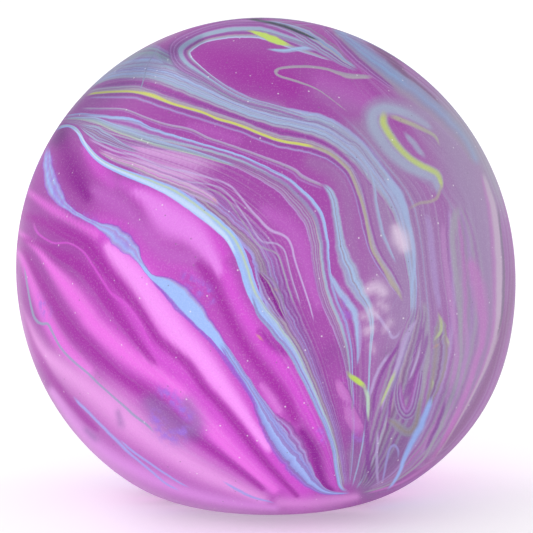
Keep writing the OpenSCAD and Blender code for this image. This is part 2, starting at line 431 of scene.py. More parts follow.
        (0.0, "purple", 0), (0.2, "purple", 0.85), (0.35, "purple", 0.8), (0.45, "lilac", 0.8),
        (0.6, "purple", 0.85), (0.75, "plum", 0.8), (0.85, "lilac", 0.6), (1.0, "lilac", 0)], [
        [(320, 25, 1.5), (335, 38, 3), (346, 50, 4.5), (368, 70, 4), (395, 90, 2)]]),
    # Hook on the upper right
    Streak("hook_outer", plain("heather", 0.6), [
        [(432, 122, 4), (418, 113, 6), (387, 103, 9), (374, 105, 9), (368, 113, 9), (370, 124, 9),
         (377, 137, 9), (398, 161, 8), (422, 177, 6), (432, 185, 5),
         (434, 196, 4)]], wobble=0.1, lines=4),
    Streak("hook_halo", plain("dove", 0.8), [
        [(434, 131, 3), (422, 122, 5), (409, 115, 6.5), (396, 110.5, 7.5), (384, 109, 8.5), (375, 113, 9),
         (373.5, 121, 9), (376.5, 131, 9), (389.5, 150, 8), (406.5, 165, 7.5), (428, 175, 6.5),
         (435, 180, 5.5), (438, 190, 3.5), (438, 197, 2.5)]], wobble=0.1),
    Streak("hook_upper", plain("pear", 0.6), [
        [(388, 115.5, 2.5), (396, 118, 3.2), (415, 125.5, 3), (432, 134, 2.4), (437, 139, 1.8),
         (440, 147, 1)]], wobble=0.1),
    Streak("hook", [
        (0.0, "dove", 0), (0.28, "pear", 0.85), (0.45, "lime", 0.75), (0.6, "lime", 0.75),
        (0.75, "pear", 0.85), (1.0, "dove", 0)], [
        [(386, 111, 4), (384, 115.5, 5.6), (385, 127, 5.6), (403, 152, 4.8), (420, 164.5, 4.8),
         (436.5, 173, 4.6), (441.5, 184.5, 3), (440.5, 191, 1.8)]], wobble=0.1),
    Streak("hook_core", plain("dove", 0.7), [
        [(403, 131, 2), (411, 140, 4), (418, 149, 4), (426, 159, 2.5)]], wobble=0.2),
    Streak("hook_tail", plain("khaki", 0.6), [
        [(441, 184, 1.5), (439, 193, 2.2), (436, 199, 2.4), (428, 202, 2.4), (420, 203, 2.2),
         (412, 207, 2), (408, 211, 1.5)]], wobble=0.1),
    # Lines that run down the right-hand side
    Streak("right_bundle", [
        (0.0, "haze_and_sheen", 0), (0.08, "grey", 0.6), (0.17, "plum", 0.5), (0.26, "ash", 0.7),
        (0.36, "lilac", 0.5), (0.45, "slate", 0.6), (0.54, "peony", 0.5), (0.64, "grey", 0.65),
        (0.73, "plum", 0.5), (0.82, "pale_lilac", 0.6), (0.91, "lilac", 0.5), (1.0, "haze_and_sheen", 0)], [
        [(456, 205, 10), (462, 235, 16), (466, 270, 19), (467, 310, 20), (463, 345, 19), (455, 378, 17),
         (444, 408, 15), (430, 436, 12), (412, 460, 9), (392, 478, 5),
         (368, 490, 2)]], wobble=0.08, lines=4),
    Streak("wide_blue", plain("azure"), [
        [(384, 176, 3), (393, 188, 6.5), (400, 199, 6.5), (408, 224, 3.6), (412, 238, 3), (414, 254, 2.6),
         (414, 270, 2.4), (412, 286, 2), (411, 300, 1.4)]], lines=4),
    Streak("thin_blue", [
        (0.0, "dove", 0), (0.3, "azure", 0.8), (0.6, "dove", 0.8), (1.0, "lilac", 0)], [
        [(352, 147, 1), (362, 160, 1.5), (370, 172, 2), (374, 188, 2.5), (376, 204, 2.8), (383, 235, 3),
         (396, 264, 1.5)]], wobble=0.2),
    Streak("side_blue", [
        (0.0, "lilac", 0), (0.2, "dove", 0.9), (0.42, "azure", 0.95), (0.5, "slate", 0.9),
        (0.58, "azure", 0.9), (0.8, "dove", 0.85), (1.0, "lilac", 0)], [
        [(322, 184, 2), (329, 190, 4), (334, 202, 5), (339, 233, 5.5), (342, 250, 7.5), (353, 280, 10),
         (367, 305, 6), (372, 325, 3), (370, 355, 1.5), (368, 395, 1.2), (364, 435, 1.2), (358, 465, 1),
         (352, 487, 1)]], wobble=0.2, lines=4),
    Streak("sky_drop", plain("azure", 0.85), [
        [(329, 272, 2), (340, 292, 4.6), (353, 310, 5.2), (356, 322, 4.2), (358, 350, 2.2),
         (357, 366, 1.4)]], wobble=0.3, lines=3),
    Streak("violet_drops", plain("violet_grey", 0.8), [
        [(426, 212, 3), (430, 232, 4.5), (434, 272, 5), (440, 312, 2.5)],
        [(360, 318, 2), (360, 334, 2.5), (360, 350, 2), (358, 362, 1)]], wobble=0.2),
    Streak("mauve_drops", plain("orchid_grey", 0.75), [
        [(443, 222, 3), (444, 250, 4), (450, 298, 4), (454, 320, 3.5), (456, 342, 3), (456, 360, 3),
         (453, 378, 2.8), (447, 398, 2.6), (431, 436, 2.2), (420, 455, 2)],
        [(466, 318, 1.5), (467, 338, 3), (466, 356, 3), (457, 392, 2.4), (442, 428, 1.5)]]),
    Streak("grey_drops", plain("ash", 0.85), [
        [(459, 205, 4), (454, 222, 5.5), (453, 245, 4.5), (458, 290, 4.5), (461, 333, 2.8),
         (461, 352, 2.3), (459, 371, 2.1), (455, 388, 2.3), (443, 421, 2), (428, 452, 1.6),
         (414, 468, 1.4), (388, 485, 1.2), (362, 493, 1)],
        [(424, 300, 3), (428, 345, 4), (426, 368, 4), (419, 408, 3)]], wobble=0.2),
    Streak("pink_drops", plain("peony", 0.8), [
        [(470, 256, 5), (475, 276, 9), (480, 296, 9.5), (483, 333, 5.5), (474, 368, 4.2), (463, 400, 4.2),
         (444, 441, 3.6), (436, 454, 3.2), (426, 466, 2.4), (400, 483, 1.5), (366, 494, 1)]], wobble=0.2),
    # Painted reflection of a strip light down the right edge
    Streak("painted_strip_reflection", [
        (0.0, "ash", 0), (0.2, "shell", 0.85), (0.5, "shell", 0.85), (0.75, "peony", 0.5),
        (1.0, "peony", 0)], [
        [(482, 172, 3), (492, 210, 6), (497, 262, 6.5), (497, 315, 6), (494, 338, 5.2), (488, 358, 4),
         (480, 378, 2.6), (464, 410, 1.9), (445, 443, 1.6), (434, 458, 1.2)]], wobble=0.1),
    # Painted shade: a dark line beside the painted reflection
    Streak("painted_edge_shade", plain("shade", 0.8), [
        [(498, 205, 1.2), (503.5, 262, 1.8), (503.5, 290, 2.2), (502, 315, 1.8), (497, 338, 1.2)]]),
    # Swirl on the lower right
    Streak("swirl_ground", [
        (0.0, "heather", 0), (0.07, "slate", 0.7), (0.14, "purple", 0.65), (0.22, "grey", 0.75),
        (0.3, "purple", 0.7), (0.39, "slate", 0.8), (0.46, "umber", 0.6), (0.54, "tan", 0.75),
        (0.61, "purple", 0.7), (0.69, "slate", 0.8), (0.77, "purple", 0.7), (0.85, "grey", 0.75),
        (0.92, "plum", 0.7), (1.0, "heather", 0)], [
        [(420, 306, 8), (416, 326, 12), (403, 372, 19), (388, 422, 19), (369, 472, 10),
         (360, 488, 4)]], wobble=0.07, lines=4),
    Streak("swirl_dark", plain("purple", 0.85), [
        [(402, 338, 2), (396, 350, 2.6), (388, 361, 2.6), (377, 386, 2.4), (372, 416, 1.5)],
        [(424, 322, 2), (420, 336, 3), (412, 362, 1.5)],
        [(363, 404, 3), (366, 420, 3), (368, 460, 4), (370, 482, 3)]], wobble=0.3),
    Streak("swirl_dark_2", plain("purple", 0.85), [
        [(428, 330, 2), (426, 344, 3), (421, 360, 3), (409.5, 389, 3.4), (406, 402, 2.4)],
        [(394, 386, 1.5), (391, 400, 2.2), (389, 416, 2), (386, 432, 1.5)],
        [(446, 398, 1.5), (442, 412, 2.5), (434, 432, 2.5), (424, 452, 2)]], wobble=0.3),
    Streak("swirl_pale", plain("pale_lilac", 0.8), [
        [(418, 318, 2), (406, 337, 4.2), (398, 364, 3.4), (386, 395, 1.8), (381, 412, 1.4)],
        [(421, 344, 1.2), (418, 356, 1.5), (413, 370, 1.5), (408, 382, 1)],
        [(378, 430, 1.5), (377, 448, 2), (377, 468, 2.2), (378, 486, 1.5)]], wobble=0.3),
    Streak("swirl_pale_2", plain("pale_lilac", 0.75), [
        [(391, 352, 2), (384, 361, 2.2), (377, 373, 2.2), (372, 388, 2.2), (369, 400, 1.5)],
        [(372, 310, 2.5), (380, 319, 2.6), (388, 330, 2.4), (392, 338, 2.2), (397, 336, 1.8),
         (401, 329, 1.2)]], wobble=0.3),
    Streak("loops", [
        (0.0, "purple", 0), (0.12, "heather", 0.7), (0.25, "purple", 0.8), (0.4, "heather", 0.75),
        (0.52, "purple", 0.85), (0.66, "lilac", 0.7), (0.8, "plum", 0.85), (1.0, "plum", 0)], [
        [(421, 368, 4), (415, 399, 6), (411.5, 410, 6.5), (406.5, 414, 7), (401, 408, 6.5),
         (398.5, 396, 5.5), (399, 380, 3.5)]], wobble=0.12),
    Streak("olive_patch", [
        (0.0, "brown", 0), (0.2, "slate", 0.85), (0.5, "taupe", 0.9), (0.8, "slate", 0.85),
        (1.0, "brown", 0)], [
        [(386, 418, 2.5), (394, 423, 5), (402, 429, 6), (410, 432, 6), (416, 424, 4.6),
         (421, 394, 2.5)]], wobble=0.2),
    Streak("eye", [
        (0.0, "taupe", 0), (0.12, "taupe", 0.9), (0.3, "heather", 0.8), (0.42, "umber", 0.7),
        (0.55, "slate", 0.8), (0.72, "taupe", 0.9), (0.86, "slate", 0.8), (1.0, "heather", 0)], [
        [(440, 316, 3), (440, 330, 7), (439, 362, 9), (431, 396, 5),
         (425, 410, 2)]], wobble=0.35, lines=5),
    Streak("olive_marks", plain("pear", 0.85), [
        [(438, 312, 1.5), (441, 322, 2.4), (441, 331, 2.4), (436, 338, 1.8), (433, 342, 1)],
        [(446, 334, 1.2), (448, 342, 2), (449, 348, 1.2)],
        [(396, 369, 1.4), (392, 379, 2.2), (384, 397, 1.8), (380, 408, 1.2)],
        [(433, 378, 1), (433, 384, 1.6), (431, 390, 1)]], wobble=0.2),
    Streak("flecks", plain("amber"), [
        [(432, 349, 0.8), (436, 346, 1.8), (440, 343, 0.8)],
        [(255, 333, 1), (259, 337, 2.2), (264, 342, 1)],
        [(212, 196, 0.8), (215, 200, 1.8), (216, 204, 0.8)],
        [(273, 287, 1), (276, 290, 1.8), (277, 293, 0.8)]], wobble=0.2),
    Streak("pink_patches", [
        (0.0, "purple", 0), (0.1, "plum", 0.8), (0.2, "peony", 0.85), (0.5, "rose", 0.6),
        (0.85, "peony", 0.85), (1.0, "plum", 0)], [
        [(336, 378, 3), (341, 388, 6), (346, 398, 6.5), (350, 408, 5)],
        [(345, 402, 5), (351, 413, 8.5), (355, 423, 9), (359, 434, 7)]], wobble=0.2),
    Streak("tick", [
        (0.0, "olive", 0), (0.25, "lime", 0.95), (0.75, "lime", 0.95), (1.0, "olive", 0)], [
        [(347, 371, 1.8), (351, 376.5, 3.2), (357, 380.5, 4), (362.5, 384.5, 3.2),
         (366, 390, 2.4)]], wobble=0.2),
    Streak("tick_tail", plain("pale_lime", 0.85), [
        [(363, 385, 1.4), (366, 391, 2.6), (368, 399, 2.8), (368, 422, 1.4)]], wobble=0.2),
    Streak("right_blue", plain("sky", 0.95), [
        [(432, 396, 2), (429, 405, 3.8), (420, 428, 4.6), (414, 438, 4.4), (404, 459, 3.2),
         (400, 471, 2.4), (394, 482, 2), (387, 490, 1.3)]]),
    Streak("blue_loop", plain("iris", 0.85), [
        [(398, 460, 1), (398, 450, 1.7), (394, 445, 1.8), (389.5, 449, 1.8), (387, 459, 1.9),
         (382, 484, 1.3)]]),
]

# Soft light and dark of the ground under the streaks, some of it painted sheen, and painted light and shade
# laid over them: strength and a path of (across, down, spread)
SOFT = {
    # Grey-mauve ground on the right: part pigment, part painted sheen
    "haze_and_sheen": [
        (0.75, [(365, 130, 16), (392, 190, 38), (412, 260, 48), (400, 400, 38), (388, 450, 22)]),
        (0.9, [(400, 80, 14), (440, 120, 26), (468, 180, 32), (480, 250, 32), (480, 320, 30),
               (462, 390, 26), (430, 440, 20)]),
        (0.5, [(350, 455, 8), (362, 478, 12), (380, 484, 8)]),
        (0.35, [(322, 92, 9), (342, 100, 12), (360, 108, 10)]),
        (0.4, [(312, 162, 8), (334, 172, 12), (346, 196, 10), (350, 230, 10), (356, 262, 10),
               (362, 290, 8)])],
    "orchid": [
        (0.9, [(105, 232, 20), (130, 270, 45), (160, 330, 60), (200, 390, 60), (250, 440, 45),
               (300, 490, 20)]),
        (0.95, [(208, 250, 7), (219, 264, 9), (228, 280, 10), (236, 300, 10), (258, 336, 11),
                (285, 372, 12), (305, 407, 10), (322, 440, 5)]),
        (0.8, [(84, 148, 3), (92, 160, 7), (102, 172, 8), (112, 183, 6)]),
        (0.9, [(122, 183, 4), (164, 206, 16), (208, 238, 15), (222, 254, 10)]),
        (0.7, [(110, 219, 3), (124, 223, 4), (136, 231, 4.5), (150, 258, 5), (162, 265, 5.5),
               (178, 267, 5.5), (191, 272, 5), (200, 283, 4), (208, 296, 3)]),
        (0.6, [(322, 440, 4), (327, 452, 6), (332, 478, 6), (336, 487, 4)]),
        (0.4, [(342, 380, 4), (352, 408, 9), (355, 420, 9), (358, 432, 6)])],
    "candy": [
        (0.95, [(18, 232, 2), (28, 240, 2.5), (40, 252, 3.5), (48, 263, 4.5), (68, 288, 9), (86, 312, 10),
                (94, 324, 10), (127, 354, 10), (166, 381, 7), (181, 393, 7), (204, 419, 7), (216, 433, 8),
                (243, 461, 7), (274, 489, 5)]),
        (0.7, [(26, 190, 2), (46, 205, 4), (57, 212, 5), (70, 220, 4), (95, 234, 5)]),
        (0.8, [(17, 250, 3), (24, 262, 4), (44, 312, 7), (62, 344, 7.5), (88, 371, 6)])],
    "pink": [
        (1, [(108, 247, 5), (115, 255, 9), (134, 277, 14), (177, 333, 14), (202, 360, 12), (239, 409, 8),
             (248, 421, 6), (268, 448, 4)]),
        (0.15, [(110, 148, 4), (150, 155, 9), (172, 160, 8), (192, 168, 6)]),
        (0.4, [(262, 386, 3), (271, 398, 5), (279, 411, 4)])],
    "blush": [
        (0.95, [(14, 300, 3), (36, 344, 8), (54, 362, 10), (108, 404, 18), (137, 428, 18), (200, 470, 13),
                (262, 500, 7)]),
        (0.7, [(280, 503, 6), (310, 503, 6), (335, 500, 6), (356, 497, 4)])],
    "bloom": [
        (0.95, [(52, 392, 5), (78, 428, 8), (106, 454, 10), (146, 476, 10), (186, 492, 8), (232, 503, 6),
                (275, 508, 4)])],
    "wisp": [
        (0.75, [(120, 157, 3), (132, 160, 6), (162, 170, 9), (198, 178, 8), (214, 184, 5)]),
        (0.7, [(112, 143, 3), (160, 153, 7), (204, 163, 6), (226, 168, 3)]),
        (0.5, [(150, 160, 4), (168, 166, 6), (188, 172, 6), (206, 178, 4)])],
    "petal": [
        (0.95, [(134, 191, 3), (148, 199, 8), (169, 219, 17), (192, 233, 13), (212, 257, 7),
                (219, 272, 4)])],
    "mauve": [
        (0.85, [(92, 190, 6), (106, 197, 11), (121, 207, 12), (134, 219, 9), (157, 248, 8), (173, 256, 9),
                (190, 259, 8), (202, 266, 6)]),
        (0.45, [(322, 82, 12), (345, 92, 15), (366, 102, 11)]),
        (0.6, [(108, 178, 4), (122, 186, 7), (138, 196, 6)]),
        (0.5, [(190, 126, 4), (206, 130, 6), (222, 135, 6), (238, 140, 4)]),
        (0.75, [(266, 212, 8), (286, 226, 12), (300, 244, 12), (311, 285, 7), (318, 305, 5)])],
    "deep": [
        (0.95, [(18, 214, 3), (30, 217, 4), (42, 222, 5), (55, 228, 7), (80, 240, 8), (90, 248, 8),
                (106, 270, 8), (124, 291, 8), (140, 311, 6), (153, 332, 5.5), (161, 342, 5.5),
                (181, 358, 5.5), (190, 367, 5.5), (206, 390, 5.5), (215, 399, 5.5), (233, 420, 6),
                (263, 459, 4.5), (297, 496, 2.5)]),
        (0.9, [(18, 238, 2.5), (30, 241, 3), (42, 246, 4), (62, 257, 8), (74, 263, 8.5), (93, 280, 8),
               (109, 303, 8), (139, 344, 5), (155, 364, 2)]),
        (0.9, [(18, 246, 2.5), (26, 254, 3.5), (38, 276, 5), (63, 317, 7), (84, 341, 7.5), (117, 373, 6),
               (151, 397, 8), (193, 435, 6), (237, 468, 4), (262, 488, 3)]),
        (0.7, [(17, 296, 2), (20, 308, 2.5), (31, 340, 3.5), (39, 356, 4), (56, 384, 4), (85, 418, 4),
               (96, 429, 3)]),
        (0.9, [(199, 264, 4), (207, 273, 5.5), (214, 286, 6), (236, 331, 5.5), (254, 359, 6),
               (282, 393, 6.5), (295, 419, 4.5)]),
        (0.7, [(200, 54, 10), (216, 58, 15), (240, 68, 18), (266, 74, 18), (292, 88, 11)])],
    "wine": [
        (1, [(62, 132, 6), (64, 142, 10), (73, 171, 13), (87, 197, 6)]),
        (0.95, [(302, 432, 4), (309, 442, 5), (314, 453, 6), (320, 475, 5), (325, 485, 3.5),
                (332, 490, 2.5)]),
        (0.7, [(152, 398, 4), (162, 407, 6), (195, 437, 4)]),
        (0.7, [(260, 331, 3), (267, 339, 5), (276, 347, 5), (285, 353, 3)])],
    "smoke": [
        (0.8, [(166, 424, 6), (173, 431, 7)]),
        (0.6, [(118, 412, 3), (121, 424, 4)]),
        (0.75, [(150, 404, 10), (163, 417, 14), (180, 430, 14), (196, 424, 11), (187, 404, 9)]),
        (0.6, [(86, 430, 3), (95, 438, 4)])],
    "violet": [
        (0.9, [(162, 392, 5), (170, 397, 7), (176, 402, 5)]),
        (0.9, [(181, 408, 5), (188, 415, 5)]),
        (0.8, [(155, 415, 5), (160, 427, 7), (172, 437, 7), (184, 432, 6)]),
        (0.35, [(108, 228, 3), (118, 236, 7), (128, 246, 7), (134, 253, 3)]),
        (0.9, [(186, 277, 4), (203, 291, 7), (210, 299, 5)]),
        (0.8, [(320, 432, 3), (327, 436, 4), (322, 441, 3)]),
        (0.7, [(40, 300, 4), (46, 312, 5)]),
        (0.6, [(48, 150, 3), (50, 170, 5), (54, 188, 6), (60, 200, 5), (75, 212, 3), (95, 222, 3)]),
        (0.5, [(343, 300, 3), (347, 312, 5), (350, 322, 4)]),
        (0.4, [(354, 436, 4), (360, 440, 4)])],
    # Painted rim light: a pale tint along the left and lower edge of the ball
    "limb": [
        (0.6, [(28, 190, 5), (20, 230, 5), (17, 270, 5), (19, 310, 5), (26, 350, 5), (41, 390, 6),
               (64, 427, 7), (94, 460, 8), (130, 485, 8), (170, 502, 7), (215, 511, 6), (265, 515, 6),
               (310, 512, 6), (340, 505, 6), (366, 496, 4)])],
    # Painted sheen: pale grey along the upper-left and upper-right edges
    "painted_rim_sheen": [
        (0.7, [(56, 125, 3), (95, 79, 5), (135, 50, 6), (160, 38, 5), (190, 27, 4)]),
        (0.8, [(430, 84, 5), (468, 128, 9), (492, 175, 7), (500, 200, 5), (506, 225, 4)])],
    # Painted shade: a darker tint along the right and lower-right edge
    "painted_rim_shade": [
        (0.8, [(507, 225, 4), (511, 255, 5), (512, 285, 5), (509, 310, 5), (495, 360, 5), (483, 388, 5),
               (466, 418, 5), (445, 447, 5), (420, 470, 5), (395, 487, 4)])],
    "dusk": [
        (0.8, [(366, 395, 8), (370, 430, 16), (372, 470, 18), (368, 490, 10)]),
        (0.7, [(392, 360, 12), (398, 400, 18), (396, 440, 18), (388, 475, 14)])],
    # Painted shade, multiplied in: darker along the upper-left edge, over the lower right and down the
    # middle
    "painted_shade": [
        (1, [(56, 140, 8), (66, 122, 14), (85, 105, 19), (140, 66, 17), (170, 52, 10), (200, 40, 5)]),
        (0.45, [(446, 396, 14), (420, 428, 18), (392, 455, 18), (366, 476, 12)]),
        (0.35, [(318, 372, 8), (335, 350, 12), (350, 365, 12), (352, 440, 10), (348, 470, 10)]),
        (0.4, [(262, 265, 9), (278, 288, 12), (306, 345, 10), (333, 415, 8), (341, 450, 7)])],
    "grain": [
        (0.5, [(420, 200, 30), (448, 240, 46), (452, 310, 46)]),
        (0.25, [(448, 330, 46), (430, 380, 50), (370, 480, 22)]),
        (0.45, [(262, 245, 18), (280, 300, 22), (328, 420, 16), (344, 470, 12)]),
        (0.3, [(345, 300, 14), (354, 350, 18), (358, 410, 16)]),
        (0.6, [(110, 74, 12), (150, 70, 18), (200, 90, 12), (260, 112, 11), (320, 128, 14),
               (370, 165, 22), (400, 210, 20)]),
        (0.55, [(80, 120, 8), (105, 138, 16), (180, 166, 20), (220, 188, 20), (250, 215, 18)]),
        (0.5, [(350, 40, 14), (400, 85, 26), (450, 130, 26)]),
        (0.08, [(50, 240, 40), (110, 340, 70), (190, 430, 60), (270, 475, 30)])],
    # Painted sheen: a grey-mauve veil over the right-hand side
    "painted_sheen": [
        (0.3, [(345, 130, 14), (385, 180, 34), (410, 250, 44), (418, 310, 36), (425, 350, 20)]),
        (0.35, [(410, 90, 14), (450, 140, 28), (470, 200, 30), (478, 270, 28), (470, 350, 22),
                (450, 400, 14)])],
    # Painted highlights: soft whitish spots on the right
    "pale": [
        (0.9, [(396, 229, 5), (400, 238, 8), (404, 247, 6)]),
        (0.7, [(368, 290, 5), (376, 287, 7), (383, 292, 6)]),
        (0.6, [(371, 311, 5), (376, 315, 4)]),
        (0.6, [(367, 331, 5), (372, 328, 4)]),
        (0.5, [(362, 316, 4), (368, 318, 3)]),
        (0.45, [(379, 303, 4), (386, 308, 4)]),
        (0.4, [(390, 322, 4), (384, 330, 3)]),
        (0.35, [(372, 346, 4), (374, 352, 3)])],
}

# Soft parts with a crisper edge, the painted rim light, sheen and shade that fade out past the ball's edge,
# and those that fade at both ends
CRISP = ("deep", "candy", "pink", "petal")
PAINTED_EDGE_LIGHT = ("limb", "painted_rim_sheen", "painted_rim_shade")
TAPERED = PAINTED_EDGE_LIGHT + ("wisp",)
# Soft parts in the order that they are laid under the streaks, and those laid over them, with their colours;
# those laid over them are painted sheen, painted rim light and shade, and painted highlights
LAID_UNDER = ("haze_and_sheen", "dusk", "orchid", "candy", "pink", "blush", "bloom", "wisp", "mauve", "petal", "deep",
              "wine", "smoke")
LAID_OVER_AS_PAINTED_LIGHT = {"painted_sheen": "haze_and_sheen", "painted_rim_shade": "painted_rim_shade", "limb": "limb", "painted_rim_sheen": "painted_rim_sheen", "pale": "cloud"}

# Fine lines that run along the whole flow, as bands of a noise, and the first streak that lies over them
FINE_LINES = [
    (0.26, "purple", 0.8), (0.38, "purple", 0.6), (0.44, "plum", 0), (0.52, "heather", 0),
    (0.58, "pale_lilac", 0.6), (0.66, "tan", 0.7), (0.74, "azure", 0.8)]
FINE_UNDER = "hairpin"
# Cell of the flow, in pixels, and the paths that it follows, each with its number across the flow
FLOW_CELL = 2
GUIDES = {
    "rim_blue": 0, "painted_strip_reflection": 0, "pink_drops": 0.5, "hook": 1, "grey_drops": 1, "violet_drops": 1.5,
    "lens_border": 2.1, "upper_bundle": 2.4, "thin_blue": 3, "yellow_bundle": 3.6, "lilac_line": 4.4,
    "side_blue": 4.4, "middle_bundle": 5.4, "agate_bundle": 8, "broad_blue": 9, "broad_low": 9,
    "lower_blue": 10.5, "lower_blob": 10.5, "deep_0": 12, "deep_1": 12.6, "deep_2": 13.5, "low_threads": 15,
    "limb_0": 16,
}


# Helpers

def corners_of(mesh):
    """Places of a mesh's corners."""
    places = np.empty(len(mesh.vertices) * 3)
    mesh.vertices.foreach_get("co", places)
    return places.reshape(-1, 3)


def reach(node):
    """Distance out from the plug's axis, and along it from the ball's centre, of a CAD node's corners."""
    places = corners_of(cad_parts[node].data) - np.array(CENTRE)
    along = places @ np.array(PLUG_AXIS)
    out = np.linalg.norm(places - along[:, None] * np.array(PLUG_AXIS), axis=1)
    return out, along


def arc(radius, start, end, count):
    """Points (out, along) on a circle about the ball's centre, by angle from the plug's axis."""
    return [(abs(radius * math.sin(a)), radius * math.cos(a)) for a in np.linspace(start, end, count)]


def turned(name, profile, segments, shares=None, closed=False):
    """Turns a profile of (out, along) points about the plug's axis, with a map of turn against length.

    shares gives each step of the profile its share of the map's height.
    """
    side = PLUG_AXIS.cross(Vector((0, 0, 1))).normalized()
    other = PLUG_AXIS.cross(side)
    points = []
    rings = []
    for out, along in profile:
        out = float(out)
        foot = CENTRE + PLUG_AXIS * float(along)
        if out < ON_AXIS:
            rings.append([len(points)] * segments)
            points.append(foot)
            continue
        rings.append(list(range(len(points), len(points) + segments)))
        for j in range(segments):
            turn = 2 * math.pi * j / segments
            points.append(foot + out * (math.cos(turn) * side + math.sin(turn) * other))
    steps = [math.dist(a, b) for a, b in zip(profile, profile[1:] + profile[:1])]
    if shares:
        steps = [s * share for s, share in zip(steps, shares + [1])]
    heights = np.concatenate([[0], np.cumsum(steps)])
    last = len(profile) if closed else len(profile) - 1
    heights /= heights[last]
    faces = []
    corners = []
    for i in range(last):
        near, far = rings[i], rings[(i + 1) % len(profile)]
        low, high = heights[i], heights[i + 1]
        for j in range(segments):
            k = (j + 1) % segments
            left, right = j / segments, (j + 1) / segments
            middle = (left + right) / 2
            if near[j] == near[k]:
                faces.append((near[j], far[k], far[j]))
                corners += [(middle, low), (right, high), (left, high)]
            elif far[j] == far[k]:
                faces.append((near[j], near[k], far[j]))
                corners += [(left, low), (right, low), (middle, high)]
            else:
                faces.append((near[j], near[k], far[k], far[j]))
                corners += [(left, low), (right, low), (right, high), (left, high)]
    mesh = bpy.data.meshes.new(name)
    mesh.from_pydata(points, [], faces)
    layer = mesh.uv_layers.new(name="OFBake")
    layer.uv.foreach_set("vector", np.array(corners, dtype=np.float32).ravel())
    obj = bpy.data.objects.new(name, mesh)
    bpy.context.scene.collection.objects.link(obj)
    return obj


class Wiring:
    """Short ways to add nodes to a tree, each fed with plain values or with other nodes' outputs."""

    def __init__(self, tree):
        self.nodes = tree.nodes
        self.links = tree.links

    def add(self, kind, inputs=None, **settings):
        """A new node of a kind, set up and fed."""
        node = self.nodes.new(kind)
        for name, value in settings.items():
            setattr(node, name, value)
        for socket, value in (inputs or {}).items():
            if isinstance(value, bpy.types.NodeSocket):
                self.links.new(value, node.inputs[socket])
            else:
                node.inputs[socket].default_value = value
        return node

    def maths(self, operation, *values):
        return self.add("ShaderNodeMath", dict(enumerate(values)), operation=operation).outputs[0]

    def vectors(self, operation, *values):
        outputs = self.add("ShaderNodeVectorMath", dict(enumerate(values)), operation=operation).outputs
        return outputs["Value" if operation == "DOT_PRODUCT" else "Vector"]

    def noise(self, place, scale, detail):
        inputs = {"Vector": place, "Scale": scale, "Detail": detail}
        return self.add("ShaderNodeTexNoise", inputs).outputs[0]

    def line_noise(self, place, detail):
        """Noise over one number."""
        inputs = {"W": place, "Scale": 1, "Detail": detail}
        return self.add("ShaderNodeTexNoise", inputs, noise_dimensions="1D").outputs[0]

    def rising(self, value, start, end, top=1):
        """0 up to start and top past end, with a smooth rise between them."""
        inputs = {"Value": value, "From Min": start, "From Max": end, "To Max": top}
        settings = {"interpolation_type": "SMOOTHSTEP", "clamp": False}
        return self.add("ShaderNodeMapRange", inputs, **settings).outputs[0]

    def over(self, below, above, cover, blend="MIX"):
        """One colour laid over another where the cover says."""
        inputs = {"Factor": cover, COLOUR_BELOW: below, COLOUR_ABOVE: above}
        return self.add("ShaderNodeMix", inputs, data_type="RGBA", blend_type=blend).outputs[COLOUR_OUT]

    def relief(self, height, strength, depth):
        inputs = {"Height": height, "Strength": strength, "Distance": depth}
        return self.add("ShaderNodeBump", inputs).outputs[0]


def new_tree(name, kind, takes, gives):
    """A node tree with named sockets, its wiring and what it is given."""
    tree = bpy.data.node_groups.new(name, kind)
    for way, sockets in (("INPUT", takes), ("OUTPUT", gives)):
        for socket, shape in sockets.items():
            tree.interface.new_socket(socket, in_out=way, socket_type="NodeSocket" + shape)
    wiring = Wiring(tree)
    return tree, wiring, wiring.add("NodeGroupInput").outputs


def settling_tree():
    """Geometry Nodes that settle a round shell on the floor, as a soft ball settles."""
    takes = {"Geometry": "Geometry", **{name: "Float" for name in SETTLING}, "Material": "Material"}
    takes["Long axis"] = "Vector"
    tree, wiring, given = new_tree("settled_ball", "GeometryNodeTree", takes, {"Geometry": "Geometry"})
    add, maths, vectors = wiring.add, wiring.maths, wiring.vectors

    def upright(value):
        return add("ShaderNodeCombineXYZ", {"Z": value}).outputs[0]

    place = add("GeometryNodeInputPosition").outputs[0]
    direction = vectors("NORMALIZE", vectors("SUBTRACT", place, upright(given["Centre height"])))
    right, _, up = add("ShaderNodeSeparateXYZ", {0: direction}).outputs
    # Longer along one slanting axis
    lean_in = maths("POWER", vectors("DOT_PRODUCT", direction, given["Long axis"]), 2)
    longer = maths("MULTIPLY", maths("MULTIPLY", lean_in, given["Lengthening"]), given["Ball radius"])
    # Sag above the base, more on the side that the ball leans to
    belt = maths("DIVIDE", maths("SUBTRACT", up, given["Sag height"]), given["Sag spread"])
    belt = maths("EXPONENT", maths("MULTIPLY", maths("POWER", belt, 2), -1))
    sideways = maths("MULTIPLY_ADD", right, given["Lean"], 1)
    sag = maths("MULTIPLY", maths("MULTIPLY", belt, sideways), given["Sag"])
    radial = maths("ADD", longer, sag)
    # Flat base, with a soft edge
    height = maths("MULTIPLY_ADD", maths("ADD", radial, given["Ball radius"]), up, given["Centre height"])
    rise = maths("SUBTRACT", maths("SMOOTH_MAX", height, 0, given["Base softness"]), height)
    outward = add("ShaderNodeVectorMath", {0: direction, "Scale": radial}, operation="SCALE").outputs[0]
    move = vectors("ADD", outward, upright(rise))
    moved = add("GeometryNodeSetPosition", {"Geometry": given["Geometry"], "Offset": move}).outputs[0]
    smooth = add("GeometryNodeSetShadeSmooth", {"Geometry": moved}).outputs[0]
    real = add("GeometryNodeRealizeInstances", {"Geometry": smooth}).outputs[0]
    coloured = add("GeometryNodeSetMaterial", {"Geometry": real, "Material": given["Material"]}).outputs[0]
    add("NodeGroupOutput", {"Geometry": coloured})
    return tree


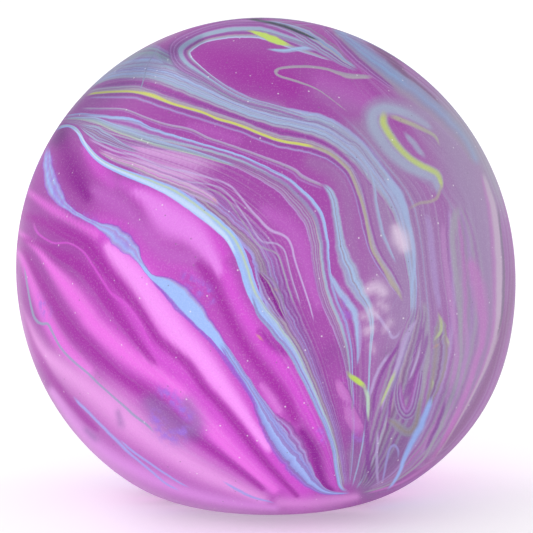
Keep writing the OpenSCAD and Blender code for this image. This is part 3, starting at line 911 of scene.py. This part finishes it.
def settle(obj, tree, material):
    """Runs a turned piece through the settling tree and keeps the mesh that comes out."""
    values = {**SETTLING, "Material": material}
    modifier = obj.modifiers.new("settle", "NODES")
    modifier.node_group = tree
    for item in tree.interface.items_tree:
        if item.in_out == "INPUT" and item.name in values:
            modifier[item.identifier] = values[item.name]
    shown = obj.evaluated_get(bpy.context.evaluated_depsgraph_get())
    mesh = bpy.data.meshes.new_from_object(shown)
    obj.modifiers.remove(modifier)
    obj.data = mesh
    mesh.set_sharp_from_angle(angle=SHARP_ANGLE)


# Marbling: where each corner of the skin falls in the photograph, and what is drawn there

def directions(places):
    """Direction of each corner from the ball's centre, and its angle from the way to the camera."""
    normal = places - np.array(CENTRE)
    normal /= np.linalg.norm(normal, axis=1)[:, None]
    return normal, np.arccos(np.clip(normal @ TOWARD, -1, 1))


def eased(values, start, end):
    """0 up to start and 1 past end, with a smooth rise between them."""
    share = np.clip((values - start) / (end - start), 0, 1)
    return share * share * (3 - 2 * share)


def waves(normal, rows):
    """Waves over the ball, added up."""
    x, z = normal[:, 0], normal[:, 2]
    return sum(height * np.sin(right * x + up * z + start) for height, right, up, start in rows)


def to_photo(places, normal, angle):
    """Photograph pixel of each corner. Past the ball's edge the pattern folds back, turned and stirred."""
    offset = places - np.array(CAMERA_AIM)
    depth = CAMERA_AWAY - offset @ TOWARD
    x = FOCAL_PX * offset[:, 0] / depth
    y = -FOCAL_PX * (offset @ UPWARD) / depth
    past = np.clip((angle - EDGE_ANGLE) / (math.pi - EDGE_ANGLE), 0, 1)
    fold = math.sin(EDGE_ANGLE) * (1 - past ** FOLD_POWER) / np.maximum(np.sin(angle), 0.001)
    fold = np.where(past > 0, fold, 1)
    turn = BACK_TURN * past
    stir = eased(angle, STIR_FROM, STIR_FROM + STIR_RISE)
    across = fold * (x * np.cos(turn) - y * np.sin(turn)) + stir * waves(normal, STIR_ACROSS)
    down = fold * (x * np.sin(turn) + y * np.cos(turn)) + stir * waves(normal, STIR_DOWN)
    return np.stack([across, down], axis=1) + PHOTO_SIDE / 2


def smooth_path(points, step=2.0):
    """A smooth curve through path points, as close points of the same kind."""
    points = np.array(points, dtype=float)
    padded = np.vstack([2 * points[0] - points[1], points, 2 * points[-1] - points[-2]])
    curve = []
    for a, b, c, d in zip(padded, padded[1:], padded[2:], padded[3:]):
        count = max(2, int(math.dist(b[:2], c[:2]) / step))
        t = np.arange(count)[:, None] / count
        curve.append(0.5 * (2 * b + (c - a) * t + (2 * a - 5 * b + 4 * c - d) * t ** 2
                            + (3 * b - a - 3 * c + d) * t ** 3))
    return np.vstack(curve + [points[-1:]])


def beside_path(pixels, points, widths, margin=6):
    """Which pixels lie within some widths of a path; their signed distance, half width and length along it.

    The path's whole length comes last.
    """
    curve = smooth_path(points)
    room = widths * curve[:, 2].max() + margin
    low, high = curve[:, :2].min(axis=0) - room, curve[:, :2].max(axis=0) + room
    near = np.flatnonzero(np.all((pixels > low) & (pixels < high), axis=1))
    spots = pixels[near]
    gaps = (spots[:, None, 0] - curve[None, :, 0]) ** 2 + (spots[:, None, 1] - curve[None, :, 1]) ** 2
    closest = np.argmin(gaps, axis=1)
    lengths = np.concatenate([[0], np.cumsum(np.hypot(*np.diff(curve[:, :2], axis=0).T))])
    best = np.full(len(near), np.inf)
    side = np.zeros(len(near))
    width = np.ones(len(near))
    along = np.zeros(len(near))
    for shift in (-1, 0):
        start = np.clip(closest + shift, 0, len(curve) - 2)
        a, b = curve[start], curve[start + 1]
        run = (b - a)[:, :2]
        t = np.clip(((spots - a[:, :2]) * run).sum(axis=1) / (run ** 2).sum(axis=1), 0, 1)
        foot = a + t[:, None] * (b - a)
        off = spots - foot[:, :2]
        gap = np.hypot(*off.T)
        cross = run[:, 0] * off[:, 1] - run[:, 1] * off[:, 0]
        better = gap < best
        best[better] = gap[better]
        side[better] = (np.sign(cross) * gap)[better]
        width[better] = foot[better, 2]
        along[better] = (lengths[start] + t * np.hypot(*run.T))[better]
    return near, side, width, along, lengths[-1]


def keep(mesh, name, values):
    """Keeps one value, or three, on each of the skin's corners, where the material reads them."""
    kind, field = ("FLOAT", "value") if values.ndim == 1 else ("FLOAT_VECTOR", "vector")
    layer = mesh.attributes.new(name, kind, "POINT")
    layer.data.foreach_set(field, values.astype(np.float32).ravel())


def mark_streak(mesh, pixels, streak, start):
    """Keeps each corner's place across a streak, its place along from a start, and the fade at the ends."""
    values = np.zeros((len(pixels), 3))
    values[:, 0] = -STREAK_REACH
    for number, path in enumerate(streak.paths):
        near, side, width, along, length = beside_path(pixels, path, STREAK_REACH + 1)
        across = np.clip(0.5 + side / (2 * width), -STREAK_REACH, STREAK_REACH + 1)
        fade = np.clip(np.minimum(along, length - along) / END_FADE, 0, 1)
        fade *= np.clip(2 - np.abs(across - 0.5), 0, 1)
        own = (number == 0) | (np.abs(across - 0.5) < np.abs(values[near, 0] - 0.5))
        values[near[own]] = np.stack([across, start + PATH_APART * number + along, fade], axis=1)[own]
    keep(mesh, streak.name, values)


def mark_soft(mesh, pixels, angle, name, strokes):
    """Keeps the strength of a soft part of the ground."""
    values = np.zeros(len(pixels))
    for strength, path in strokes:
        near, side, width, along, length = beside_path(pixels, path, SOFT_REACH)
        power = 3 if name in CRISP else 2
        level = strength * np.exp(-np.abs(side / width) ** power)
        if name in TAPERED:
            level *= np.clip(np.minimum(along, length - along) / (TAPER * length), 0, 1)
        # Painted rim light, sheen and shade fade out past the ball's edge
        if name in PAINTED_EDGE_LIGHT:
            level *= 1 - eased(angle[near], EDGE_ANGLE, TINT_TO)
        values[near] = np.maximum(values[near], level)
    keep(mesh, name, values)


def flow_field():
    """How far across the marbling's flow each cell lies: even along a guide and between two of them."""
    paths = {streak.name: streak.paths[0] for streak in STREAKS}
    paths.update({f"{name}_{number}": path for name in SOFT for number, (_, path) in enumerate(SOFT[name])})
    field, coarse = np.zeros((1, 1)), PHOTO_SIDE
    for cell in (FLOW_CELL * times for times in (16, 8, 4, 2, 1)):
        spots = np.arange(0, PHOTO_SIDE + cell, cell)
        wider = np.minimum(spots // coarse, len(field) - 1)
        field, coarse = field[wider][:, wider], cell
        guided = np.full(field.shape, np.nan)
        for name, value in GUIDES.items():
            column, row = np.round(smooth_path(paths[name])[:, :2] / cell).astype(int).T
            guided[row, column] = value
        for turn in range(FLOW_ROUNDS + SOFTENING_ROUNDS):
            edged = np.pad(field, 1, mode="edge")
            field = (edged[:-2, 1:-1] + edged[2:, 1:-1] + edged[1:-1, :-2] + edged[1:-1, 2:]) / 4
            if turn < FLOW_ROUNDS:
                field = np.where(np.isnan(guided), field, guided)
    return field


def mark_flow(mesh, pixels, normal, angle):
    """Keeps how far across the flow each corner lies, and how strong the lines along the ball's edge are."""
    field = flow_field()
    spots = np.clip(pixels / FLOW_CELL, 0, len(field) - 1.001)
    whole = spots.astype(int)
    part_x, part_y = (spots - whole).T
    x, y = whole.T
    flow = (field[y, x] * (1 - part_x) + field[y, x + 1] * part_x) * (1 - part_y)
    flow += (field[y + 1, x] * (1 - part_x) + field[y + 1, x + 1] * part_x) * part_y
    righter = eased(normal[:, 0], LEFT_TO, RIGHT_FROM)
    start, end, steps = (a + righter * (b - a) for a, b in (LINES_FROM, LINES_TO, LINES_ACROSS))
    flow += eased(angle, start, end) * (steps + waves(normal, LINE_WAVES))
    edge = LINES_COVER * eased(angle, start, EDGE_ANGLE)
    edge += MORE_COVER * righter * eased(angle, EDGE_ANGLE, TINT_TO)
    edge *= 1 - eased(angle, end - LINES_FADE, end)
    keep(mesh, "flow", flow)
    keep(mesh, "edge_lines", edge)


def mark_focus(mesh, pixels):
    """Keeps how crisp the marbling is: fine threads on the left, soft on the right."""
    keep(mesh, "focus", np.clip((THREADS_END - pixels[:, 0]) / (THREADS_END - THREADS_TO), 0, 1))


# Materials

def new_material(name):
    """A material, the wiring of its nodes and the inputs of its shader."""
    material = bpy.data.materials.new(name)
    material.use_nodes = True
    wiring = Wiring(material.node_tree)
    return material, wiring, wiring.nodes["Principled BSDF"].inputs


def streak_group():
    """Shader group: a point's place across a streak, stirred by noise along it, and its fine threads."""
    takes = {"Streak": "Color", "Wobble": "Float", "Lines": "Float"}
    gives = {"Place": "Float", "Fade": "Float", "Thread": "Float"}
    group, wiring, given = new_tree("streak", "ShaderNodeTree", takes, gives)
    maths = wiring.maths
    across, along, fade = wiring.add("ShaderNodeSeparateColor", {0: given["Streak"]}).outputs
    shift = maths("SUBTRACT", wiring.line_noise(maths("MULTIPLY", along, WOBBLE_RATE), detail=3), 0.5)
    place = maths("MULTIPLY_ADD", shift, given["Wobble"], across)
    # Threads, a few lines across that drift slowly as they run along
    drift = maths("MULTIPLY", along, DRIFT_RATE)
    threads = wiring.line_noise(maths("MULTIPLY_ADD", place, given["Lines"], drift), detail=2)
    sharp = wiring.rising(threads, start=0.5, end=0.6, top=0.48)
    wiring.add("NodeGroupOutput", {"Place": place, "Fade": fade, "Thread": sharp})
    return group


def marbled_rubber():
    """The skin's rubber: a magenta ground, lit and darkened softly, with the streaks laid over it, then
    painted sheen, highlights and shade.
    """
    material, wiring, shader = new_material("marbled_rubber")
    shader["Specular IOR Level"].default_value = 0.15
    group = streak_group()
    coords = wiring.add("ShaderNodeTexCoord").outputs["Object"]
    over, maths, rising = wiring.over, wiring.maths, wiring.rising

    def attribute(name, output="Fac"):
        return wiring.add("ShaderNodeAttribute", attribute_name=name).outputs[output]

    def ramped(bands, place):
        ramp = wiring.add("ShaderNodeValToRGB", {0: place})
        stops = ramp.color_ramp.elements
        while len(stops) < len(bands):
            stops.new(0.5)
        for stop, (at, colour, cover) in zip(stops, bands):
            stop.position = at
            stop.color = linear(colour)[:3] + [cover]
        return ramp.outputs

    def lined(ground, where):
        waver = wiring.noise(coords, scale=150, detail=3)
        across = maths("MULTIPLY_ADD", attribute("flow"), LINES_A_STEP, waver)
        tint = ramped(FINE_LINES, wiring.line_noise(across, detail=3))
        return over(ground, tint["Color"], maths("MULTIPLY", tint["Alpha"], attribute(where)))

    cloudy = wiring.noise(coords, scale=90, detail=4)
    ground = over(linear("magenta"), linear("plum"), rising(cloudy, start=0.5, end=1.1, top=0.15))
    for name in LAID_UNDER:
        ground = over(ground, linear(name), attribute(name))
    focus = attribute("focus")
    for streak in STREAKS:
        if streak.name == FINE_UNDER:
            ground = lined(ground, "grain")
        # Made in the order of use, so that the renderer holds few values at a time
        inputs = {"Streak": attribute(streak.name, "Color"), "Wobble": streak.wobble, "Lines": streak.lines}
        placed = wiring.add("ShaderNodeGroup", inputs, node_tree=group).outputs
        ramp = ramped(streak.bands, placed["Place"])
        cover = maths("MULTIPLY", ramp["Alpha"], placed["Fade"])
        colour = ramp["Color"]
        if streak.lines:
            colour = over(colour, linear("purple"), maths("MULTIPLY", placed["Thread"], focus))
        ground = over(ground, colour, cover)
    # Painted sheen, rim light, rim shade and highlights, laid over the streaks
    for name, colour in LAID_OVER_AS_PAINTED_LIGHT.items():
        ground = over(ground, linear(colour), attribute(name))
    ground = lined(ground, "edge_lines")
    # Painted shade multiplied over the whole colour
    ground = over(ground, linear("painted_shade"), attribute("painted_shade"), "MULTIPLY")
    # Fuzzy violet specks
    fuzz = rising(wiring.noise(coords, scale=900, detail=3), start=0.38, end=0.62)
    ground = over(ground, linear("violet"), maths("MULTIPLY", attribute("violet"), fuzz))
    # Specks of dust, pale and dark
    for colour, scale in (("white", 480), ("shade", 520)):
        dust = wiring.add("ShaderNodeTexVoronoi", {"Vector": coords, "Scale": scale}).outputs["Distance"]
        ground = over(ground, linear(colour), rising(dust, start=0.08, end=0.03, top=0.6))
    # Powdery grain
    powder = wiring.noise(coords, scale=5000, detail=2)
    for colour, end in (("white", 0.75), ("shade", 0.25)):
        ground = over(ground, linear(colour), rising(powder, start=0.5, end=end, top=0.09))
    wiring.links.new(ground, shader["Base Color"])
    # Matt and shiny patches, and the powder's own relief
    worn = wiring.add("ShaderNodeMapRange", {"Value": cloudy, "To Min": 0.4, "To Max": 0.6}, clamp=False)
    wiring.links.new(worn.outputs[0], shader["Roughness"])
    wiring.links.new(wiring.relief(powder, strength=0.15, depth=0.00005), shader["Normal"])
    return material


def swirl_group():
    """Shader group: two colours stirred together, with the roughness and the relief that go with them."""
    takes = {"Light": "Color", "Dark": "Color", "Scale": "Float", "Smooth": "Float", "Rough": "Float"}
    gives = {"Color": "Color", "Roughness": "Float", "Height": "Float"}
    group, wiring, given = new_tree("swirl", "ShaderNodeTree", takes, gives)
    coords = wiring.add("ShaderNodeTexCoord").outputs["Object"]
    inputs = {"Vector": coords, "Scale": given["Scale"], "Detail": 4, "Distortion": 1.5}
    stirred = wiring.add("ShaderNodeTexNoise", inputs).outputs[0]
    share = wiring.rising(stirred, start=0.35, end=0.65)
    colour = wiring.over(given["Light"], given["Dark"], share)
    inputs = {"Factor": share, VALUE_BELOW: given["Smooth"], VALUE_ABOVE: given["Rough"]}
    rough = wiring.add("ShaderNodeMix", inputs).outputs[VALUE_OUT]
    wiring.add("NodeGroupOutput", {"Color": colour, "Roughness": rough, "Height": stirred})
    return group


def swirled(name, group, light, dark, scale, smooth, rough):
    """A material of two colours stirred together."""
    material, wiring, shader = new_material(name)
    inputs = {"Light": linear(light), "Dark": linear(dark), "Scale": scale, "Smooth": smooth, "Rough": rough}
    placed = wiring.add("ShaderNodeGroup", inputs, node_tree=group).outputs
    wiring.links.new(placed["Color"], shader["Base Color"])
    wiring.links.new(placed["Roughness"], shader["Roughness"])
    wiring.links.new(wiring.relief(placed["Height"], strength=0.2, depth=0.0002), shader["Normal"])
    return material


def pale_floor():
    """A plain pale floor, a little lit of itself, which keeps the ball's shadow."""
    material, _, shader = new_material("floor")
    shader["Base Color"].default_value = linear("floor")
    shader["Roughness"].default_value = 0.9
    shader["Emission Color"].default_value = WHITE
    shader["Emission Strength"].default_value = 0.3
    return material


# Places along the plug's axis and radii round it, from the CAD corners
plug_out, plug_along = reach("fill_plug")
ring_out, ring_along = reach("plug_adhesive")
skin_out, skin_along = reach("skin")
jelly_out, jelly_along = reach("jelly_filling")
HOLE_R = ring_out.min()
STEM_R = HOLE_R - PLUG_GAP
SEAT_AT, HEAD_AT = ring_along.min(), ring_along.max()
HEAD_R = plug_out.max()
SEAT_R = HEAD_R + PLUG_GAP
TIP_AT = plug_along.min()
TIP_R = plug_out[plug_along < TIP_AT + LEVEL].max()
below_head = plug_along < SEAT_AT - UNDER_HEAD
BARB_R = plug_out[below_head].max()
BARB_AT = plug_along[below_head & (plug_out > BARB_R - LEVEL)].max()
COLLAR_AT = BARB_AT + PLUG_GAP
COLLAR_R = skin_out[(skin_along > 0) & (abs(skin_along - COLLAR_AT) < LEVEL)].max()
JELLY_R = np.hypot(jelly_out, jelly_along).max()
WALL_R = JELLY_R + FILLING_GAP
settling = settling_tree()
swirl = swirl_group()

# Skin, which gives most of its map to its outer face
outer = arc(BALL_R, math.pi, math.asin(SEAT_R / BALL_R), count=190)
lip = [(SEAT_R, SEAT_AT), (HOLE_R, SEAT_AT), (HOLE_R, COLLAR_AT), (COLLAR_R, COLLAR_AT)]
inner = arc(WALL_R, math.asin(COLLAR_R / WALL_R), math.pi, count=40)
shares = [1] * (len(outer) - 1) + [0.3] * (len(lip) + 1) + [0.06] * (len(inner) - 1)
skin = turned("marbled_skin", outer + lip + inner, segments=360, shares=shares)
settle(skin, settling, marbled_rubber())
corners = corners_of(skin.data)
normal, angle = directions(corners)
pixels = to_photo(corners, normal, angle)
for number, streak in enumerate(STREAKS):
    mark_streak(skin.data, pixels, streak, STREAK_APART * number)
mark_flow(skin.data, pixels, normal, angle)
mark_focus(skin.data, pixels)
for name, strokes in SOFT.items():
    mark_soft(skin.data, pixels, angle, name, strokes)

# Jelly filling, with a pocket for the collar and the barb
pocket_r, barb_room_r = COLLAR_R + FILLING_GAP, BARB_R + FILLING_GAP
pocket_at, tip_room_at = COLLAR_AT - FILLING_GAP, TIP_AT - FILLING_GAP
bed = arc(JELLY_R, math.pi, math.asin(pocket_r / JELLY_R), count=60)
pocket = [(pocket_r, pocket_at), (barb_room_r, pocket_at), (barb_room_r, tip_room_at), (0, tip_room_at)]
jelly = turned("jelly", bed + pocket, segments=120)
settle(jelly, settling, swirled("jelly", swirl, "pink", "candy", scale=120, smooth=0.15, rough=0.25))

# Plug, from its tip up to the dome of its head
dome = arc(BALL_R, math.asin((HEAD_R - EASE) / BALL_R), 0, count=14)
shank = [(0, TIP_AT), (TIP_R, TIP_AT), (BARB_R, BARB_AT), (STEM_R, BARB_AT), (STEM_R, HEAD_AT),
         (HEAD_R, HEAD_AT), (HEAD_R, dome[0][1] - EASE)]
plug = turned("plug", shank + dome, segments=96)
settle(plug, settling, swirled("plug_rubber", swirl, "peony", "magenta", scale=260, smooth=0.4, rough=0.5))

# Ring of adhesive under the plug's head
ring = [(HOLE_R, SEAT_AT), (HEAD_R, SEAT_AT), (HEAD_R, HEAD_AT), (HOLE_R, HEAD_AT)]
glue = turned("adhesive", ring, segments=96, closed=True)
settle(glue, settling, swirled("adhesive", swirl, "white", "cloud", scale=400, smooth=0.2, rough=0.4))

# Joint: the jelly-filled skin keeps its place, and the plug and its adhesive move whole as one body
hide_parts("skin")
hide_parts("jelly_filling")
for soft in (skin, jelly):
    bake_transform(soft)
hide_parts("fill_plug")
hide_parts("plug_adhesive")
for stiff in (plug, glue):
    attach(stiff, "plug")

# Floor, light and camera
bpy.ops.mesh.primitive_plane_add(size=FLOOR_SIDE)
floor = bpy.context.object
floor.name = "floor"
floor.data.materials.append(pale_floor())

scene = bpy.context.scene
world = bpy.data.worlds.new("studio")
world.use_nodes = True
sky = world.node_tree.nodes["Background"].inputs
sky["Color"].default_value = WHITE
sky["Strength"].default_value = SKY_STRENGTH
scene.world = world

for name, (place, size, power) in LIGHTS.items():
    box = bpy.data.lights.new(name, "AREA")
    box.shape = "RECTANGLE"
    box.size, box.size_y = size
    box.energy = power
    lamp = bpy.data.objects.new(name, box)
    lamp.location = place
    lamp.rotation_euler = (CENTRE - Vector(place)).to_track_quat("-Z", "Y").to_euler()
    scene.collection.objects.link(lamp)

lens = bpy.data.cameras.new("camera")
lens.sensor_width = SENSOR
lens.lens = FOCAL_PX / PHOTO_SIDE * SENSOR
camera = bpy.data.objects.new("camera", lens)
camera.location = CAMERA_AIM + CAMERA_AWAY * Vector(TOWARD)
camera.rotation_euler = (math.pi / 2 - CAMERA_UP, 0, 0)
scene.collection.objects.link(camera)
scene.camera = camera
scene.view_settings.view_transform = "Standard"
